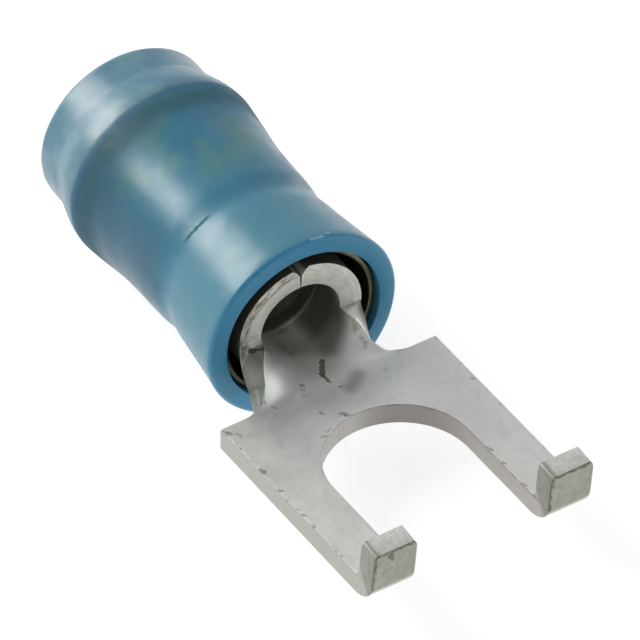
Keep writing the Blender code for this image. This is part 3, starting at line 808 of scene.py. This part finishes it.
ENTRY_FLARE = 0.22 * MM
INSULATOR_EDGE = 0.03 * MM
ROUND_STEPS = 6
FUNNEL_STEPS = 8


def arc(centre_x, centre_radius, radius, start, end):
    """Points on an arc, each an (x, radius) pair; angles from +X in degrees."""
    points = []
    for k in range(ROUND_STEPS + 1):
        angle = math.radians(start + (end - start) * k / ROUND_STEPS)
        points.append((centre_x + radius * math.cos(angle), centre_radius + radius * math.sin(angle)))
    return points


outside = arc(RIM_X - FRONT_ROUND, RIM_RADIUS - FRONT_ROUND, FRONT_ROUND, 0.0, 90.0)
outside += curve_points([
    (RIM_X - FRONT_ROUND, RIM_RADIUS),
    (WAIST_X + WAIST_FRONT_RUN, WAIST_FRONT_RADIUS),
    (WAIST_X, WAIST_RADIUS),
    (WAIST_X - WAIST_REAR_RUN, WAIST_REAR_RADIUS),
    (BARREL_REAR_X, BULGE_START_RADIUS),
    (SLEEVE_REAR_X + BULGE_RISE_RUN, BULGE_RISE_RADIUS),
    (SLEEVE_REAR_X, BULGE_RADIUS),
    (SLEEVE_REAR_X - REAR_TAPER, REAR_RADIUS),
])[1:]
outside += arc(INSULATOR_REAR_X + REAR_ROUND, REAR_RADIUS - REAR_ROUND, REAR_ROUND, 90.0, 180.0)
inside = [(RIM_X, MOUTH_RADIUS + SEAT_STEP)]
inside += [(x, r + SEAT_STEP) for x, r in sleeve_bore]
shelf_x = SLEEVE_REAR_X - CLEARANCE
shelf_radius = inside[-1][1]
inside.append((shelf_x, shelf_radius))
for k in range(1, FUNNEL_STEPS + 1):
    share = k / FUNNEL_STEPS
    radius = shelf_radius + (REAR_BORE_RADIUS - shelf_radius) * ease(share)
    inside.append((shelf_x - FUNNEL_LENGTH * share, radius))
inside.append((INSULATOR_REAR_X + ENTRY_DEPTH, REAR_BORE_RADIUS))
inside.append((INSULATOR_REAR_X, REAR_BORE_RADIUS + ENTRY_FLARE))
insulator = ring_by_ring("moulded_insulator", outside + inside[::-1])

# The nylon is blue with greener clouds, with painted shade over the flare and low on the left, and
# painted paler at the mouth, where light comes through it
BLUE = (0.014, 0.118, 0.196, 1.0)
CLOUDY_BLUE = (0.026, 0.152, 0.234, 1.0)
GREENER = (0.055, 0.165, 0.170, 1.0)
FLARE_SHADE = (0.002, 0.056, 0.094, 1.0)
LOW_SIDE_SHADE = (0.004, 0.062, 0.110, 1.0)
MOUTH_BLUE = (0.038, 0.156, 0.222, 1.0)
RIM_BLUE = (0.037, 0.225, 0.385, 1.0)
NYLON_IOR = 1.53
NYLON_SPECULAR = 0.39
RING_TRANSMISSION = 0.40
nylon = Shader("translucent_nylon")
nylon.along_barrel()
x, y, z = nylon.split()
drift = nylon.math("MULTIPLY_ADD", nylon.noise(0.9, 3.0), 0.5, -0.25)
wandering = nylon.math("ADD", x, drift)
colour = nylon.mix(nylon.rise(nylon.noise(0.8, 3.0), 0.3, 0.7), BLUE, CLOUDY_BLUE)
greener = nylon.times(nylon.rise(nylon.noise(0.55, 3.0), 0.48, 0.66), nylon.fall(x, -6.6, -5.6, 0.75))
colour = nylon.mix(greener, colour, GREENER)
# Painted shade where the sleeve's flare lies behind the wall, stronger on the left
shade_over_flare = nylon.times(nylon.fall(wandering, -9.3, -7.9), nylon.ramp(y, -2.4, 1.2, 1.0, 0.25))
colour = nylon.mix(nylon.times(shade_over_flare, 0.95), colour, FLARE_SHADE)
# Painted shade low on the left side
low_side_shade = nylon.times(nylon.fall(y, -2.9, -1.7, 0.80), nylon.fall(wandering, -6.2, -4.9))
colour = nylon.mix(low_side_shade, colour, LOW_SIDE_SHADE)
colour = nylon.mix(nylon.rise(wandering, -5.6, -4.2), colour, MOUTH_BLUE)
colour = nylon.mix(nylon.rise(x, -2.26, -2.12), colour, RIM_BLUE)

# The sleeve's end is painted through the wall as a dark line with darker painted shade over the ridge
# in front of it; behind it the rear ring, with nothing under it, is painted pale and lets light through
PALE_RING = (0.060, 0.186, 0.280, 1.0)
PALER_RING = (0.140, 0.276, 0.335, 1.0)
SLEEVE_LINE = (0.012, 0.085, 0.165, 1.0)
RIDGE_SHADE = (0.001, 0.056, 0.076, 1.0)
# Painted light: the rear ring is paler, where light comes through it
ring = nylon.mix(nylon.rise(nylon.noise(0.7, 3.0), 0.42, 0.66), PALE_RING, PALER_RING)
steadier = nylon.math("MULTIPLY_ADD", drift, 0.25, x)
backed = nylon.rise(steadier, -9.82, -9.62)
colour = nylon.mix(backed, ring, colour)
# Painted shade: the sleeve's end as a dark line
colour = nylon.mix(nylon.times(backed, nylon.fall(steadier, -9.62, -9.45, 0.75)), colour, SLEEVE_LINE)
# Painted shade over the ridge in front of the sleeve's end
ridge_shade = nylon.times(nylon.rise(wandering, -9.55, -9.30), nylon.fall(wandering, -9.15, -8.60, 0.55), backed)
colour = nylon.mix(ridge_shade, colour, RIDGE_SHADE)

# Painted shade marks a crease part of the way round the waist; a few pale scratches lie in front of it
CREASE_SHADE = (0.012, 0.090, 0.100, 1.0)
SCRATCH = (0.36, 0.55, 0.66, 1.0)
from_waist = nylon.apart(x, WAIST_X / MM)
# Painted shade in the crease, which also makes the surface rougher there
crease_shade_and_scuff = nylon.fall(nylon.times(from_waist, nylon.uneven), 0.035, 0.075)
crease_shade_and_scuff = nylon.times(crease_shade_and_scuff, nylon.rise(y, -2.20, -2.00), nylon.fall(y, -1.40, -1.10))
crease_shade_and_scuff = nylon.times(crease_shade_and_scuff, nylon.rise(z, 2.6, 2.9))
colour = nylon.mix(nylon.times(crease_shade_and_scuff, 0.60), colour, CREASE_SHADE)
for start, end, half_width, depth in (
    ((-2.16, 0.26, 4.86), (-2.14, 0.78, 4.80), 0.035, 0.55),
    ((-2.24, 0.80, 4.80), (-2.30, 1.20, 4.66), 0.030, 0.40),
    ((-3.98, -2.30, 3.28), (-3.64, -2.52, 2.95), 0.030, 0.35),
):
    colour = nylon.tint_along(colour, start, end, half_width, depth, SCRATCH)
roughness = nylon.ramp(nylon.noise(2.0, 3.0), 0.3, 0.7, 0.29, 0.37)
roughness = nylon.math("ADD", roughness, nylon.times(backed, nylon.fall(wandering, -9.0, -8.2, 0.30)))
roughness = nylon.math("MULTIPLY_ADD", crease_shade_and_scuff, 0.45, roughness)
nylon.look(colour, roughness, metallic=0.0)
nylon.surface.inputs["IOR"].default_value = NYLON_IOR
nylon.surface.inputs["Specular IOR Level"].default_value = NYLON_SPECULAR
nylon.feed(nylon.surface.inputs["Transmission Weight"], nylon.fall(backed, 0.0, 1.0, RING_TRANSMISSION))
nylon.bump(nylon.noise(0.7, 2.0), 0.40, 0.05 * MM)
insulator.data.materials.append(nylon.material)

# The moulded wall has shallow shrink marks
SHRINK_SPACING = 1.3 * MM
SHRINK_HEIGHT = 0.030 * MM
SHRINK_MIDDLE = 0.62
shrinkage = bpy.data.textures.new("shrinkage", "CLOUDS")
shrinkage.noise_scale = SHRINK_SPACING
shrinkage.noise_depth = 1
waves = insulator.modifiers.new("Shrink marks", "DISPLACE")
waves.texture = shrinkage
waves.texture_coords = "LOCAL"
waves.strength = SHRINK_HEIGHT
waves.mid_level = SHRINK_MIDDLE
break_edges(insulator, INSULATOR_EDGE, sharper_than=40.0)
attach(insulator, "root")
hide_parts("insulator")


# Studio
# A pale floor under a soft, even light, with two large soft lamps up on the left. The camera
# looks down on the fork at the photograph's angle through a long lens.
FLOOR_SIZE = 6.0
PAPER_GREY = (0.46, 0.46, 0.46, 1.0)
WHITE = (1.0, 1.0, 1.0, 1.0)
PAPER_GLOW = 0.69
PAPER_ROUGHNESS = 0.9
bpy.ops.object.select_all(action="DESELECT")
bpy.ops.mesh.primitive_plane_add(size=FLOOR_SIZE, location=(0.0, 0.0, cad_box[0][2]))
floor = bpy.context.object
floor.name = "floor"
paper = bpy.data.materials.new("paper")
paper.use_nodes = True
sheet = paper.node_tree.nodes["Principled BSDF"]
sheet.inputs["Base Color"].default_value = PAPER_GREY
sheet.inputs["Emission Color"].default_value = WHITE
sheet.inputs["Emission Strength"].default_value = PAPER_GLOW
sheet.inputs["Roughness"].default_value = PAPER_ROUGHNESS
floor.data.materials.append(paper)

CAMERA_AZIMUTH = math.radians(-33.529)
CAMERA_ELEVATION = math.radians(42.231)
CAMERA_ROLL = math.radians(0.505)
CAMERA_DISTANCE = 270.0 * MM
LENS_IN_MM = 542.7
SENSOR_IN_MM = 36.0
CLIP_START = 10.0 * MM
CLIP_END = 20.0
aim = Vector((-1.856, 0.437, 1.991)) * MM
back = Vector((
    math.cos(CAMERA_ELEVATION) * math.cos(CAMERA_AZIMUTH),
    math.cos(CAMERA_ELEVATION) * math.sin(CAMERA_AZIMUTH),
    math.sin(CAMERA_ELEVATION),
))
level = Vector((0.0, 0.0, 1.0)).cross(back).normalized()
right = math.cos(CAMERA_ROLL) * level + math.sin(CAMERA_ROLL) * back.cross(level)
up = back.cross(right)
turned = Matrix((right, up, back)).transposed().to_quaternion()
camera_data = bpy.data.cameras.new("camera")
camera_data.sensor_width = SENSOR_IN_MM
camera_data.lens = LENS_IN_MM
camera_data.clip_start = CLIP_START
camera_data.clip_end = CLIP_END
camera = bpy.data.objects.new("camera", camera_data)
camera.matrix_world = Matrix.LocRotScale(aim + CAMERA_DISTANCE * back, turned, None)
bpy.context.scene.collection.objects.link(camera)
bpy.context.scene.camera = camera

LAMP_DISTANCE = 300.0 * MM


def soft_lamp(name, direction, size, power, colour):
    """A round lamp in the given direction from the terminal, turned towards it."""
    data = bpy.data.lights.new(name, "AREA")
    data.color = colour
    data.shape = "DISK"
    data.size = size
    data.energy = power
    lamp = bpy.data.objects.new(name, data)
    direction = Vector(direction).normalized()
    turned = direction.to_track_quat("Z", "Y")
    lamp.matrix_world = Matrix.LocRotScale(aim + LAMP_DISTANCE * direction, turned, None)
    bpy.context.scene.collection.objects.link(lamp)


soft_lamp("key", (-0.60, -0.56, 0.57), size=0.13, power=0.44, colour=(1.0, 0.99, 0.94))
soft_lamp("wide", (-0.86, -0.30, 0.38), size=0.17, power=0.60, colour=(1.0, 0.95, 0.86))

# The sky is dimmer on the side that the camera looks from
SKY_COLOUR = (0.97, 0.98, 1.0, 1.0)
DIM_SIDE = (0.58, -0.50, 0.64)
DIMMING = {"From Min": 0.15, "From Max": 0.90, "To Min": 0.86, "To Max": 0.30}
world = bpy.data.worlds.new("world")
world.use_nodes = True
sky = world.node_tree
backdrop = sky.nodes["Background"]
direction = sky.nodes.new("ShaderNodeTexCoord").outputs["Generated"]
facing = sky.nodes.new("ShaderNodeVectorMath")
facing.operation = "DOT_PRODUCT"
facing.inputs[1].default_value = DIM_SIDE
sky.links.new(direction, facing.inputs[0])
dimmed = sky.nodes.new("ShaderNodeMapRange")
dimmed.interpolation_type = "SMOOTHSTEP"
for key, given in DIMMING.items():
    dimmed.inputs[key].default_value = given
sky.links.new(facing.outputs["Value"], dimmed.inputs["Value"])
sky.links.new(dimmed.outputs["Result"], backdrop.inputs["Strength"])
backdrop.inputs["Color"].default_value = SKY_COLOUR
bpy.context.scene.world = world
bpy.context.scene.view_settings.view_transform = "Standard"
